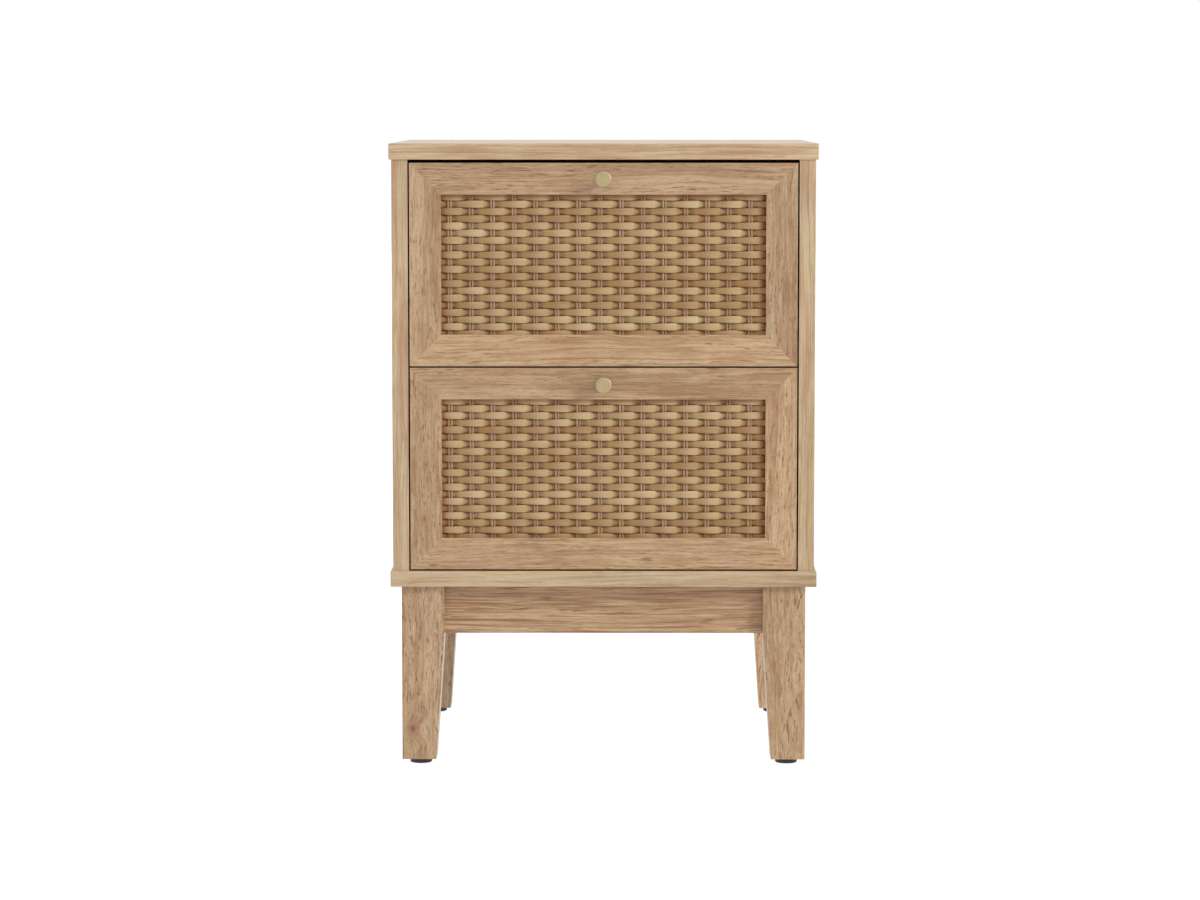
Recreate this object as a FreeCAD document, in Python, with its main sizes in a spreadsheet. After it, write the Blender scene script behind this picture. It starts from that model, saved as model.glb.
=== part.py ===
"""Two-drawer nightstand: an oak-faced cabinet on a four-legged base, with woven drawer fronts.

Millimetres. +Z is up, the drawer fronts face -Y, and the origin is on the floor in the middle of
the footprint. Every node is one piece, or one set of identical pieces, as it would lie on a bench.
"""
import FreeCAD
import Part
import Sketcher
import os
import re

DIMENSIONS = {
    # the whole piece
    "width": 400,
    "depth": 350,
    "height": 585,
    "board": 15,
    "side_overhang": 2.5,
    "front_setback": 2,
    "board_round": 0.8,
    # back panel in its grooves
    "back_board": 3,
    "back_inset": 8,
    "groove_bite": 6,
    "panel_play": 0.5,
    # legs, glides and aprons
    "leg_height": 165,
    "leg_square": 40,
    "leg_taper": 8,
    "leg_side_inset": 10,
    "leg_front_inset": 8,
    "leg_round": 1.5,
    "glide_height": 5,
    "glide_radius": 10.4,
    "glide_round": 1,
    "glide_offset": 1,
    "glide_pin_radius": 1.5,
    "glide_pin_length": 14,
    "apron_height": 46,
    "apron_board": 16,
    "apron_setback": 10,
    # drawer fronts
    "top_gap": 3,
    "front_gap": 1.5,
    "front_board": 16,
    "frame_width": 29.5,
    "recess": 5,
    "rabbet": 8,
    "rattan_board": 4,
    # drawer boxes
    "box_board": 12,
    "box_height": 130,
    "box_length": 285,
    "box_floor": 3,
    "floor_lift": 8,
    "floor_bite": 5,
    # roller slides
    "slide_gap": 12.5,
    "steel": 1.2,
    "rail_lift": 1,
    "rail_height": 22,
    "rail_depth": 10,
    "rail_length": 297,
    "rail_start": 2,
    "rail_sink": 2,
    "flange_reach": 10,
    "flange_stop": 21,
    "foot_flange": 10,
    "roller_radius": 8,
    "roller_width": 5,
    "roller_inset": 12,
    "roller_play": 0.5,
    "roller_round": 0.8,
    "roller_stand": 1.6,
    "rivet_radius": 2,
    "rivet_play": 0.06,
    "rivet_end_play": 0.3,
    "rivet_head": 3.5,
    "rivet_cap": 1,
    "rivet_set": 0.7,
    # knobs
    "knob_reach": 18,
    "knob_radius": 7.7,
    "knob_drop": 15,
    "knob_foot_radius": 4.8,
    "knob_foot_height": 1,
    "knob_neck_radius": 3.9,
    "knob_flare": 1.5,
    "knob_disc": 7,
    "knob_round": 1,
    # fixings
    "hole_play": 0.05,
    "hole_relief": 2,
    "dowel_radius": 4,
    "dowel_bite": 10,
    "dowel_length": 30,
    "dowel_spread": 88,
    "small_dowel_radius": 3,
    "small_dowel_bite": 8,
    "small_dowel_length": 24,
    "apron_dowel_bite": 14,
    "apron_dowel_spread": 12,
    "cam_spread": 120,
    "cam_drop": 34,
    "cam_radius": 7.5,
    "cam_depth": 12.5,
    "cam_slot": 1.2,
    "cam_slot_depth": 2,
    "bolt_radius": 2.5,
    "bolt_bite": 10,
    "bolt_collar": 2,
    "bolt_neck": 1.9,
    "bolt_head": 3,
    "bolt_head_length": 4,
    "bolt_head_slope": 2,
    "insert_radius": 4.5,
    "insert_length": 15,
    "leg_screw_radius": 2.95,
    "leg_screw_head": 6.2,
    "leg_screw_sink": 3.3,
    "leg_screw_socket": 2,
    "rail_screw_radius": 1.7,
    "rail_screw_head": 3.2,
    "rail_screw_cap": 1,
    "rail_screw_round": 0.8,
    "rail_screw_length": 10,
    "rail_screw_point": 3,
    "knob_screw_radius": 1.9,
    "knob_screw_head": 4,
    "knob_screw_cap": 2.4,
    "knob_screw_bite": 8,
}

# Planes and centre lines, worked out from the driving dimensions.
LEVELS = {
    "front_plane": "(knob_reach - front_setback - depth) / 2",
    "rear_plane": "front_plane + depth",
    "mid_plane": "(front_plane + rear_plane) / 2",
    "face_plane": "front_plane + front_setback",
    "outer_side": "width / 2 - side_overhang",
    "inner_side": "outer_side - board",
    "panel_mid": "outer_side - board / 2",
    "leg_top": "glide_height + leg_height",
    "cabinet_floor": "leg_top + board",
    "ceiling": "height - board",
    "back_front": "rear_plane - back_inset - back_board",
    "groove_half": "inner_side + groove_bite",
    "leg_outer": "width / 2 - leg_side_inset",
    "leg_inner": "leg_outer - leg_square",
    "leg_mid": "leg_outer - leg_square / 2",
    "leg_front": "front_plane + leg_front_inset",
    "leg_rear": "rear_plane - leg_front_inset",
    "taper_height": "leg_height - apron_height",
    "apron_foot": "leg_top - apron_height",
    "apron_mid": "leg_top - apron_height / 2",
    "front_foot": "cabinet_floor + front_gap",
    "front_height": "(ceiling - cabinet_floor - top_gap - 2 * front_gap) / 2",
    "front_pitch": "front_height + front_gap",
    "front_head": "front_foot + front_height",
    "front_half": "inner_side - front_gap",
    "front_rear": "face_plane + front_board",
    "opening_half": "front_half - frame_width",
    "opening_foot": "front_foot + frame_width",
    "opening_head": "front_head - frame_width",
    "rabbet_half": "opening_half + rabbet",
    "rabbet_foot": "opening_foot - rabbet",
    "rabbet_head": "opening_head + rabbet",
    "rabbet_plane": "face_plane + recess",
    "box_outer": "inner_side - slide_gap",
    "box_inner": "box_outer - box_board",
    "rail_foot": "front_foot + rail_lift",
    "rail_mid": "rail_foot + rail_height / 2",
    "rail_front": "front_rear + rail_start",
    "rail_lip": "inner_side - rail_depth",
    "box_foot": "rail_foot + rail_sink",
    "box_head": "box_foot + box_height",
    "box_rear": "front_rear + box_length",
    "box_floor_foot": "box_foot + floor_lift",
    "box_floor_head": "box_floor_foot + box_floor",
    "box_floor_half": "box_inner + floor_bite",
    "roller_level": "rail_foot + steel + roller_play + roller_radius",
    "flange_foot": "roller_level + roller_radius + roller_play",
    "cabinet_roller_line": "rail_front + roller_inset",
    "drawer_roller_line": "box_rear - roller_inset",
    "drawer_screw_level": "box_foot + floor_lift / 2",
    "knob_level": "front_head - knob_drop",
}

LEFT, RIGHT = -1, 1
SIDES = {"left": LEFT, "right": RIGHT}
DRAWERS = {"lower": "0", "upper": "front_pitch"}
X, Y, Z = FreeCAD.Vector(1, 0, 0), FreeCAD.Vector(0, 1, 0), FreeCAD.Vector(0, 0, 1)
ALONG = {"x": FreeCAD.Rotation(Y, 90), "y": FreeCAD.Rotation(X, -90), "z": FreeCAD.Rotation()}

doc = FreeCAD.newDocument("nightstand")
dims = doc.addObject("Spreadsheet::Sheet", "dims")
levels = doc.addObject("Spreadsheet::Sheet", "levels")
nodes = {}


def spelled(expression, home=""):
    """The expression with each name led by its sheet, as it is written outside that sheet."""

    def lead(match):
        sheet = "dims" if match.group(0) in DIMENSIONS else "levels"
        return match.group(0) if sheet == home else f"{sheet}.{match.group(0)}"

    return re.sub("[a-z_]+", lead, expression)


def fill_sheets():
    for row, (name, number) in enumerate(DIMENSIONS.items(), start=1):
        dims.set(f"A{row}", str(number))
        dims.setAlias(f"A{row}", name)
    for row, (name, formula) in enumerate(LEVELS.items(), start=1):
        levels.setAlias(f"A{row}", name)
        levels.set(f"A{row}", "=" + spelled(formula, "levels"))
    doc.recompute()


def value(expression):
    return float(levels.evalExpression(spelled(expression, "levels")))


def bind(thing, **sizes):
    for prop, expression in sizes.items():
        thing.setExpression(prop, spelled(expression))
    return thing


def place(thing, x="0", y="0", z="0", turn=FreeCAD.Rotation()):
    thing.Placement = FreeCAD.Placement(FreeCAD.Vector(), turn)
    for axis, expression in (("x", x), ("y", y), ("z", z)):
        thing.setExpression(f"Placement.Base.{axis}", spelled(expression))
    return thing


def node(name, thing):
    """Names the finished sub-part, whose shape becomes the file of that name."""
    thing.Label = name
    nodes[name] = thing
    return thing


def times(side, expression):
    return f"{side} * ({expression})"


def span(side, near, far):
    """The X span from near to far of the centre line, on the left or the right."""
    return (near, far) if side == RIGHT else (times(LEFT, far), times(LEFT, near))


def raised(span_z, lift):
    return tuple(f"{level} + {lift}" for level in span_z)


# ---------------------------------------------------------------- solids


def box(name, x, y, z):
    """A rectangular piece between its lowest and highest X, Y and Z."""
    piece = doc.addObject("Part::Box", name)
    sizes = [f"({high}) - ({low})" for low, high in (x, y, z)]
    bind(piece, Length=sizes[0], Width=sizes[1], Height=sizes[2])
    return place(piece, x[0], y[0], z[0])


def rod(name, axis, radius, length, start):
    piece = doc.addObject("Part::Cylinder", name)
    bind(piece, Radius=radius, Height=length)
    return place(piece, *start, turn=ALONG[axis])


def fused(name, pieces):
    whole = doc.addObject("Part::MultiFuse", name)
    whole.Shapes = pieces
    return whole


def cut(name, base, tools):
    """The base with the tools' space taken out of it."""
    result = doc.addObject("Part::Cut", name)
    result.Base = base
    result.Tool = fused(f"{name}_cutters", tools) if len(tools) > 1 else tools[0]
    return result


def group(name, pieces):
    """Separate solids of one kind, kept together as one node."""
    whole = doc.addObject("Part::Compound", name)
    whole.Links = pieces
    return node(name, whole)


def copy_at(master, name, x="0", y="0", z="0", turn=FreeCAD.Rotation()):
    link = doc.addObject("App::Link", name)
    link.LinkedObject = master
    return place(link, x, y, z, turn)


def outline(body, plane, corners):
    """A closed outline of straight lines, each corner held from the origin by two expressions."""
    sketch = body.newObject("Sketcher::SketchObject", f"{body.Name}_outline")
    support = next(feature for feature in body.Origin.OriginFeatures if feature.Role == plane)
    sketch.AttachmentSupport = (support, [""])
    sketch.MapMode = "FlatFace"
    points = [FreeCAD.Vector(value(across), value(up), 0) for across, up in corners]
    for start, end in zip(points, points[1:] + points[:1]):
        sketch.addGeometry(Part.LineSegment(start, end), False)
    for line in range(len(points)):
        following = (line + 1) % len(points)
        sketch.addConstraint(Sketcher.Constraint("Coincident", line, 2, following, 1))
    for line, (point, (across, up)) in enumerate(zip(points, corners)):
        for kind, reach, expression in (
            ("DistanceX", point.x, across),
            ("DistanceY", point.y, up),
        ):
            held = Sketcher.Constraint(kind, -1, 1, line, 1, reach)
            index = sketch.addConstraint(held)
            sketch.setExpression(f"Constraints[{index}]", spelled(expression))
    return sketch


def rectangle(x, y):
    return [(x[0], y[0]), (x[1], y[0]), (x[1], y[1]), (x[0], y[1])]


def extruded(name, plane, corners, length, reverse=False):
    """A body whose outline is drawn on a plane of its own origin and padded by the length."""
    body = doc.addObject("PartDesign::Body", name)
    pad = body.newObject("PartDesign::Pad", f"{name}_pad")
    pad.Profile = outline(body, plane, corners)
    pad.Reversed = reverse
    bind(pad, Length=length)
    doc.recompute()
    return body, pad


def turned(name, axis, profile):
    """A body of revolution from (place along the axis, radius) points; the axis is x, y or z."""
    body = doc.addObject("PartDesign::Body", name)
    plane = "XZ_Plane" if axis == "z" else "XY_Plane"
    corners = profile if axis == "x" else [(radius, along) for along, radius in profile]
    sketch = outline(body, plane, corners)
    turn = body.newObject("PartDesign::Revolution", f"{name}_turn")
    turn.Profile = sketch
    turn.ReferenceAxis = (sketch, ["H_Axis" if axis == "x" else "V_Axis"])
    turn.Angle = 360
    return body


def rounded(body, feature, radius, chosen=None):
    """Rounds every edge of the feature, or only the chosen ones."""
    fillet = body.newObject("PartDesign::Fillet", f"{body.Name}_fillet")
    fillet.Base = (feature, chosen or [""])
    fillet.UseAllEdges = chosen is None
    bind(fillet, Radius=radius)
    body.Tip = fillet
    return body


# ---------------------------------------------------------------- cabinet


def pocketed(body, name, plane, corners, length):
    """Cuts the outline out of the body, the same length each way from the plane."""
    pocket = body.newObject("PartDesign::Pocket", name)
    pocket.Profile = outline(body, plane, corners)
    pocket.SideType = "Symmetric"
    bind(pocket, Length=length)
    doc.recompute()
    return pocket


# Each corner joint of the cabinet: the side, the joint's plane, which way the side panel lies
# from it, and how a fixing made for the lower right corner is turned to suit.
CORNERS = {
    "lower_right": (RIGHT, "cabinet_floor", 1, FreeCAD.Rotation()),
    "upper_right": (RIGHT, "ceiling", -1, FreeCAD.Rotation(X, 180)),
    "lower_left": (LEFT, "cabinet_floor", 1, FreeCAD.Rotation(Z, 180)),
    "upper_left": (LEFT, "ceiling", -1, FreeCAD.Rotation(Y, 180)),
}
ENDS = {"front": -1, "rear": 1}


def corner_places(across, along, up):
    """Where a fixing sits at each corner joint, with its turn, once towards each end."""
    for corner, (side, plane, way, turn) in CORNERS.items():
        for end, way_along in ENDS.items():
            x = times(side, across)
            y = f"mid_plane + {way_along} * {along}"
            z = f"{plane} + {way} * ({up})"
            yield f"{corner}_{end}", corner, (x, y, z), turn


def corner_cutters(corners, board_part):
    """The holes at some corner joints, in the level board or in the side panel."""
    holes = []
    part = "board" if board_part else "panel"
    wide = "dowel_radius + hole_play"
    deep = "dowel_bite" if board_part else "dowel_length - dowel_bite"
    for name, corner, start, turn in corner_places("panel_mid", "dowel_spread", "0"):
        if corner in corners:
            label = f"dowel_hole_{name}_{part}"
            holes.append(hole_towards(label, start, turn, wide, deep, board_part))
    wide = "bolt_radius + hole_play" if board_part else "bolt_head + 4 * hole_play"
    deep = "bolt_bite" if board_part else "cam_drop"
    for name, corner, start, turn in corner_places("panel_mid", "cam_spread", "0"):
        if corner in corners:
            label = f"bolt_hole_{name}_{part}"
            holes.append(hole_towards(label, start, turn, wide, deep, board_part))
    if not board_part:
        for name, corner, start, turn in corner_places("inner_side", "cam_spread", "cam_drop"):
            if corner in corners:
                pocket = doc.addObject("Part::Cylinder", f"cam_pocket_{name}")
                bind(pocket, Radius="cam_radius", Height="cam_depth")
                holes.append(place(pocket, *start, turn=turn.multiply(ALONG["x"])))
    return holes


def hole_towards(name, start, turn, radius, deep, board_part):
    """A blind hole from a joint's plane into the level board, or into the side panel."""
    drill = doc.addObject("Part::Cylinder", name)
    bind(drill, Radius=radius, Height=f"{deep} + 4 * hole_play")
    facing = FreeCAD.Rotation(X, 180) if board_part else FreeCAD.Rotation()
    return place(drill, *start, turn=turn.multiply(facing))


def back_groove():
    half = ("-groove_half", "groove_half")
    deep = ("back_front", "back_front + back_board")
    return box("back_groove", half, deep, ("cabinet_floor - groove_bite", "ceiling + groove_bite"))


def leg_corners():
    """Each leg's name, side, end and the plane of its outer front or rear face."""
    for end, way in ENDS.items():
        for side_name, side in SIDES.items():
            yield f"{end}_{side_name}", side, way, f"leg_{end}"


def leg_middle(side, way, plane):
    """The X and Y of the line down the middle of a leg's square head."""
    return times(side, "leg_mid"), f"{plane} - {way} * leg_square / 2"


def level_board(name, low, high, cutters):
    """The top or the bottom board, with every edge eased."""
    corners = rectangle(("-width / 2", "width / 2"), ("front_plane", "rear_plane"))
    body, pad = extruded(f"{name}_blank", "XY_Plane", corners, f"({high}) - ({low})")
    rounded(body, pad, "board_round")
    place(body, z=low)
    return node(name, cut(name, body, cutters))


def build_carcass():
    groove = back_groove()
    upper = ("upper_left", "upper_right")
    lower = ("lower_left", "lower_right")
    level_board("top_board", "ceiling", "height", [groove] + corner_cutters(upper, True))
    screw_holes = []
    for name, side, way, plane in leg_corners():
        middle = leg_middle(side, way, plane)
        shank = "leg_screw_radius + 2 * hole_play"
        screw_holes.append(rod(f"{name}_leg_screw_hole", "z", shank, "board", (*middle, "leg_top")))
        sink = doc.addObject("Part::Cone", f"{name}_leg_screw_sink")
        bind(sink, Radius1=shank, Radius2="leg_screw_head + 2 * hole_play", Height="leg_screw_sink")
        screw_holes.append(place(sink, *middle, "cabinet_floor - leg_screw_sink"))
    floor_holes = [groove] + corner_cutters(lower, True) + screw_holes
    level_board("bottom_board", "leg_top", "cabinet_floor", floor_holes)
    for side_name, side in SIDES.items():
        blank = box(
            f"{side_name}_side_blank",
            span(side, "inner_side", "outer_side"),
            ("face_plane", "rear_plane"),
            ("cabinet_floor", "ceiling"),
        )
        joints = corner_cutters((f"upper_{side_name}", f"lower_{side_name}"), False)
        screws = cabinet_rail_screw_holes(side_name, side)
        name = f"{side_name}_side_panel"
        node(name, cut(name, blank, [groove] + joints + screws))
    half = "groove_half - panel_play"
    node(
        "back_panel",
        box(
            "back_panel",
            (times(LEFT, half), half),
            ("back_front", "back_front + back_board"),
            ("cabinet_floor - groove_bite + panel_play", "ceiling + groove_bite - panel_play"),
        ),
    )


def build_carcass_fixings():
    dowels = []
    for name, _, start, turn in corner_places("panel_mid", "dowel_spread", "-dowel_bite"):
        dowel = doc.addObject("Part::Cylinder", f"dowel_{name}")
        bind(dowel, Radius="dowel_radius", Height="dowel_length")
        dowels.append(place(dowel, *start, turn=turn))
    group("carcass_dowels", dowels)

    bolt = turned(
        "cam_bolt",
        "z",
        [
            ("-bolt_bite", "0"),
            ("-bolt_bite", "bolt_radius"),
            ("0", "bolt_radius"),
            ("0", "bolt_head"),
            ("bolt_collar", "bolt_head"),
            ("bolt_collar", "bolt_neck"),
            ("cam_drop - bolt_head_length - bolt_head_slope", "bolt_neck"),
            ("cam_drop - bolt_head_length", "bolt_head"),
            ("cam_drop", "bolt_head"),
            ("cam_drop", "0"),
        ],
    )
    places = list(corner_places("panel_mid", "cam_spread", "0"))
    group("cam_bolts", [copy_at(bolt, f"bolt_{name}", *at, turn) for name, _, at, turn in places])

    origin = ("0", "0", "0")
    disc = rod("cam_disc", "x", "cam_radius - hole_play", "cam_depth - 4 * hole_play", origin)
    well = ("board / 2", "0", "-cam_radius")
    throat = rod("cam_throat", "z", "bolt_head + 4 * hole_play", "cam_radius + bolt_head", well)
    deep = ("-cam_slot", "cam_slot_depth")
    long = ("-cam_radius / 2", "cam_radius / 2")
    narrow = ("-cam_slot / 2", "cam_slot / 2")
    slots = [box("cam_slot_wide", deep, long, narrow), box("cam_slot_tall", deep, narrow, long)]
    cam = cut("cam_lock", disc, [throat] + slots)
    places = list(corner_places("inner_side", "cam_spread", "cam_drop"))
    group("cam_locks", [copy_at(cam, f"cam_{name}", *at, turn) for name, _, at, turn in places])


# ---------------------------------------------------------------- base


def apron_dowel_places():
    """Each apron joint's dowels: the name, the axis they lie along, and where each starts."""
    for end, way in ENDS.items():
        y = f"leg_{end} - {way} * (apron_setback + apron_board / 2)"
        for side_name, side in SIDES.items():
            start = f"{side} * leg_inner - apron_dowel_bite"
            for level in (-1, 1):
                z = f"apron_mid + {level} * apron_dowel_spread"
                yield f"{end}_{side_name}_across_{level + 1}", f"{end}_{side_name}", "x", (start, y, z)
    for side_name, side in SIDES.items():
        x = times(side, "leg_outer - apron_setback - apron_board / 2")
        for end, way in ENDS.items():
            start = f"leg_{end} - {way} * leg_square - apron_dowel_bite"
            for level in (-1, 1):
                z = f"apron_mid + {level} * apron_dowel_spread"
                yield f"{end}_{side_name}_along_{level + 1}", f"{end}_{side_name}", "y", (x, start, z)


def build_legs(dowel_holes):
    for name, side, way, plane in leg_corners():
        inner_y = f"{plane} - {way} * leg_square"
        x = (times(side, "leg_inner"), times(side, "leg_outer"))
        body, _ = extruded(f"{name}_leg_blank", "XY_Plane", rectangle(x, (plane, inner_y)), "leg_height")
        across = [
            (x[0], "0"),
            (times(side, "leg_inner + leg_taper"), "0"),
            (x[0], "taper_height"),
        ]
        pocketed(body, f"{name}_leg_taper_x", "XZ_Plane", across, "2 * depth")
        along = [(inner_y, "0"), (f"{inner_y} + {way} * leg_taper", "0"), (inner_y, "taper_height")]
        tapered = pocketed(body, f"{name}_leg_taper_y", "YZ_Plane", along, "2 * width")
        outer_edge = [
            f"Edge{number}"
            for number, edge in enumerate(tapered.Shape.Edges, start=1)
            if edge.BoundBox.ZLength > value("taper_height") + 1
        ]
        rounded(body, tapered, "leg_round", outer_edge)
        place(body, z="glide_height")
        middle = leg_middle(side, way, plane)
        insert = rod(
            f"{name}_insert_hole",
            "z",
            "insert_radius + hole_play",
            "insert_length + hole_relief",
            (*middle, "leg_top - insert_length - hole_relief"),
        )
        pin = rod(
            f"{name}_pin_hole",
            "z",
            "glide_pin_radius + hole_play",
            "glide_pin_length + hole_relief",
            (*glide_centre(side, way, plane), "glide_height"),
        )
        node(f"{name}_leg", cut(f"{name}_leg", body, [insert, pin] + dowel_holes[name]))


def glide_centre(side, way, plane):
    reach = "(leg_square - leg_taper) / 2"
    return times(side, f"leg_outer - {reach} - glide_offset"), f"{plane} - {way} * {reach}"


def build_base():
    dowels = []
    leg_holes = {name: [] for name, *_ in leg_corners()}
    apron_holes = {}
    for name, leg, axis, start in apron_dowel_places():
        dowels.append(rod(f"apron_dowel_{name}", axis, "dowel_radius", "2 * apron_dowel_bite", start))
        wide = "dowel_radius + hole_play"
        hole = rod(f"apron_hole_{name}", axis, wide, "2 * apron_dowel_bite", start)
        leg_holes[leg].append(hole)
        end, side_name = leg.split("_")
        apron_holes.setdefault(end if axis == "x" else side_name, []).append(hole)
    group("apron_dowels", dowels)
    build_legs(leg_holes)

    for end, way in ENDS.items():
        outer = f"leg_{end} - {way} * apron_setback"
        inner = f"leg_{end} - {way} * (apron_setback + apron_board)"
        y = (outer, inner) if way < 0 else (inner, outer)
        blank = box(f"{end}_apron_blank", ("-leg_inner", "leg_inner"), y, ("apron_foot", "leg_top"))
        node(f"{end}_apron", cut(f"{end}_apron", blank, apron_holes[end]))
    for side_name, side in SIDES.items():
        x = span(side, "leg_outer - apron_setback - apron_board", "leg_outer - apron_setback")
        y = ("leg_front + leg_square", "leg_rear - leg_square")
        blank = box(f"{side_name}_apron_blank", x, y, ("apron_foot", "leg_top"))
        node(f"{side_name}_apron", cut(f"{side_name}_apron", blank, apron_holes[side_name]))

    glide = turned(
        "glide",
        "z",
        [
            ("0", "0"),
            ("0", "glide_radius - glide_round"),
            ("glide_round / 3", "glide_radius - glide_round / 3"),
            ("glide_round", "glide_radius"),
            ("glide_height", "glide_radius"),
            ("glide_height", "glide_pin_radius"),
            ("glide_height + glide_pin_length", "glide_pin_radius"),
            ("glide_height + glide_pin_length", "0"),
        ],
    )
    insert = turned(
        "leg_insert",
        "z",
        [
            ("-insert_length", "leg_screw_radius + hole_play"),
            ("-insert_length", "insert_radius"),
            ("0", "insert_radius"),
            ("0", "leg_screw_radius + hole_play"),
        ],
    )
    screw = turned(
        "leg_screw",
        "z",
        [
            ("hole_relief - board - insert_length", "0"),
            ("hole_relief - board - insert_length", "leg_screw_radius"),
            ("-leg_screw_sink", "leg_screw_radius"),
            ("0", "leg_screw_head"),
            ("0", "bolt_radius"),
            ("-leg_screw_socket", "bolt_radius"),
            ("-leg_screw_socket", "0"),
        ],
    )
    glides, inserts, screws = [], [], []
    for name, side, way, plane in leg_corners():
        middle = leg_middle(side, way, plane)
        glides.append(copy_at(glide, f"{name}_glide", *glide_centre(side, way, plane)))
        inserts.append(copy_at(insert, f"{name}_insert", *middle, "leg_top"))
        screws.append(copy_at(screw, f"{name}_leg_screw", *middle, "cabinet_floor"))
    group("leg_glides", glides)
    group("leg_inserts", inserts)
    group("leg_screws", screws)


# ---------------------------------------------------------------- roller slides


def facing(side):
    """The turn that makes a fixing of the right side suit the given side."""
    return FreeCAD.Rotation() if side == RIGHT else FreeCAD.Rotation(Z, 180)


RAIL_SCREW_SHARES = (0.16, 0.5, 0.84)


def rail_screw_lines(start, length):
    """Three screw places along a rail, clear of the rollers at its ends."""
    return [f"{start} + {length} * {share}" for share in RAIL_SCREW_SHARES]


def cabinet_rail_screw_holes(side_name, side):
    """The screws' holes in one side panel, behind both of its rails."""
    holes = []
    for drawer, lift in DRAWERS.items():
        for number, y in enumerate(rail_screw_lines("rail_front", "rail_length"), start=1):
            hole = doc.addObject("Part::Cylinder", f"{side_name}_{drawer}_screw_hole_{number}")
            bind(hole, Radius="rail_screw_radius + hole_play", Height="rail_screw_length")
            start = (times(side, "inner_side - steel"), y, f"rail_mid + {lift}")
            holes.append(place(hole, *start, turn=facing(side).multiply(ALONG["x"])))
    return holes


def channel(name, side):
    """A C of folded sheet along the cabinet side, open towards the drawer."""
    web, lip = times(side, "inner_side"), times(side, "rail_lip")
    inside = times(side, "inner_side - steel")
    corners = [
        (web, "0"),
        (lip, "0"),
        (lip, "steel"),
        (inside, "steel"),
        (inside, "rail_height - steel"),
        (lip, "rail_height - steel"),
        (lip, "rail_height"),
        (web, "rail_height"),
    ]
    body, _ = extruded(name, "XZ_Plane", corners, "rail_length", reverse=True)
    return body


def drawer_angle(name, side):
    """An angle under the drawer side's edge, with a running flange that rests on a roller."""
    out, inside = times(side, "box_outer + steel"), times(side, "box_outer")
    foot = times(side, "box_outer - foot_flange")
    sink = "rail_sink - steel"
    corners = [
        (out, sink),
        (foot, sink),
        (foot, "rail_sink"),
        (inside, "rail_sink"),
        (inside, "flange_foot + steel - rail_foot"),
        (out, "flange_foot + steel - rail_foot"),
    ]
    body, _ = extruded(name, "XZ_Plane", corners, "box_length", reverse=True)
    flange = body.newObject("PartDesign::Pad", f"{name}_flange")
    across = (inside, times(side, "box_outer + flange_reach"))
    up = ("flange_foot - rail_foot", "flange_foot - rail_foot + steel")
    flange.Profile = outline(body, "XZ_Plane", rectangle(across, up))
    flange.Reversed = True
    bind(flange, Length="box_length - flange_stop")
    return body


def build_slides():
    cabinet_rivet = turned(
        "cabinet_rivet",
        "x",
        [
            ("rail_lip + rivet_set", "0"),
            ("rail_lip + rivet_set", "rivet_head"),
            ("rail_lip + rivet_set + rivet_cap", "rivet_head"),
            ("rail_lip + rivet_set + rivet_cap", "rivet_radius"),
            ("inner_side", "rivet_radius"),
            ("inner_side", "0"),
        ],
    )
    inner_end = "rail_lip + rivet_set + rivet_cap + rivet_end_play"
    cabinet_roller = roller("cabinet_roller", inner_end)
    screw = turned(
        "rail_screw",
        "x",
        [
            ("-rail_screw_cap", "0"),
            ("-rail_screw_cap", "rail_screw_head - rail_screw_round"),
            ("-rail_screw_cap / 3", "rail_screw_head"),
            ("0", "rail_screw_head"),
            ("0", "rail_screw_radius"),
            ("rail_screw_length - rail_screw_point", "rail_screw_radius"),
            ("rail_screw_length", "0"),
        ],
    )
    rivets, screws = [], []
    for drawer, lift in DRAWERS.items():
        rails, rollers = [], []
        for side_name, side in SIDES.items():
            name = f"{drawer}_{side_name}"
            blank = channel(f"{name}_channel", side)
            place(blank, y="rail_front", z=f"rail_foot + {lift}")
            axle = (times(side, "0"), "cabinet_roller_line", f"roller_level + {lift}")
            bore_start = (span(side, "rail_lip", "inner_side")[0], *axle[1:])
            holes = [rod(f"{name}_axle_hole", "x", "rivet_radius", "rail_depth", bore_start)]
            for number, y in enumerate(rail_screw_lines("rail_front", "rail_length"), start=1):
                start = (times(side, "inner_side - steel"), y, f"rail_mid + {lift}")
                screws.append(copy_at(screw, f"{name}_rail_screw_{number}", *start, facing(side)))
                wide = "rail_screw_radius + hole_play"
                lip = (bore_start[0], *start[1:])
                holes.append(rod(f"{name}_rail_hole_{number}", "x", wide, "rail_depth", lip))
            rails.append(cut(f"{name}_cabinet_rail", blank, holes))
            rollers.append(copy_at(cabinet_roller, f"{name}_cabinet_roller", *axle, facing(side)))
            rivets.append(copy_at(cabinet_rivet, f"{name}_cabinet_rivet", *axle, facing(side)))
        group(f"{drawer}_cabinet_rails", rails)
        group(f"{drawer}_cabinet_rollers", rollers)
    group("cabinet_rail_screws", screws)
    group("cabinet_roller_rivets", rivets)
    return screw


def roller(name, start):
    """A nylon roller with eased rims, bored for its rivet."""
    return turned(
        name,
        "x",
        [
            (start, "rivet_radius + rivet_play"),
            (start, "roller_radius - roller_round"),
            (f"{start} + roller_round", "roller_radius"),
            (f"{start} + roller_width - roller_round", "roller_radius"),
            (f"{start} + roller_width", "roller_radius - roller_round"),
            (f"{start} + roller_width", "rivet_radius + rivet_play"),
        ],
    )


# ---------------------------------------------------------------- drawers


def mitred(name, corners, lift):
    """One member of a drawer front's frame, its ends cut to 45 degrees."""
    body, _ = extruded(name, "XZ_Plane", corners, "front_board", reverse=True)
    return place(body, y="face_plane", z=lift)


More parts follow.
